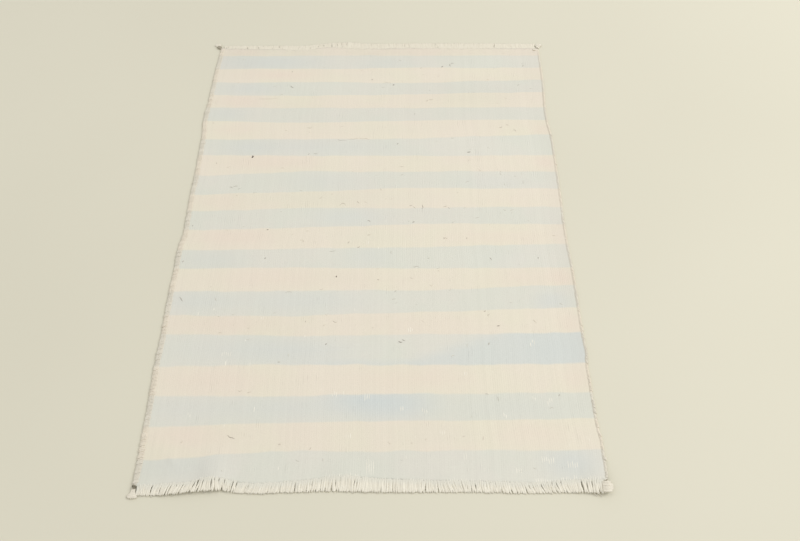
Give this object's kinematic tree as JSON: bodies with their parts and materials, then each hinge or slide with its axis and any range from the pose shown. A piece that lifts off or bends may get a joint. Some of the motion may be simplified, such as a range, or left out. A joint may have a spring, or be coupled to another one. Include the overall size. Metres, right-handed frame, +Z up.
{
  "type": "doormat",
  "caption": "Small flat-woven striped floor mat lying flat, with overcast long edges, short cut fringes at both ends and a loose yarn tail at each corner.",
  "frame": {"origin": "middle of the mat's outline, on the surface that it lies on", "axes": "+Y along the mat's length towards the far end, +X to the right across its width, +Z up out of its face"},
  "size_m": [0.7068, 1.0346, 0.0083],
  "materials": {
    "woven_cloth": "matt flat-woven wool and cotton in pale grey-blue and pale peach weft stripes, ribbed lengthwise by the warps",
    "overcast_edge": "matt beige yarn whipped over the outer warps",
    "warp_fringe": "matt cream cotton warp yarn, cut short",
    "corner_tail": "matt cream loose yarn ends"
  },
  "bodies": {
    "root": {"woven_cloth": "woven_cloth", "selvedge_left": "overcast_edge", "selvedge_right": "overcast_edge", "fringe_near": "warp_fringe", "fringe_far": "warp_fringe", "corner_tail_near_left": "corner_tail", "corner_tail_near_right": "corner_tail", "corner_tail_far_left": "corner_tail", "corner_tail_far_right": "corner_tail"}
  },
  "joints": []
}
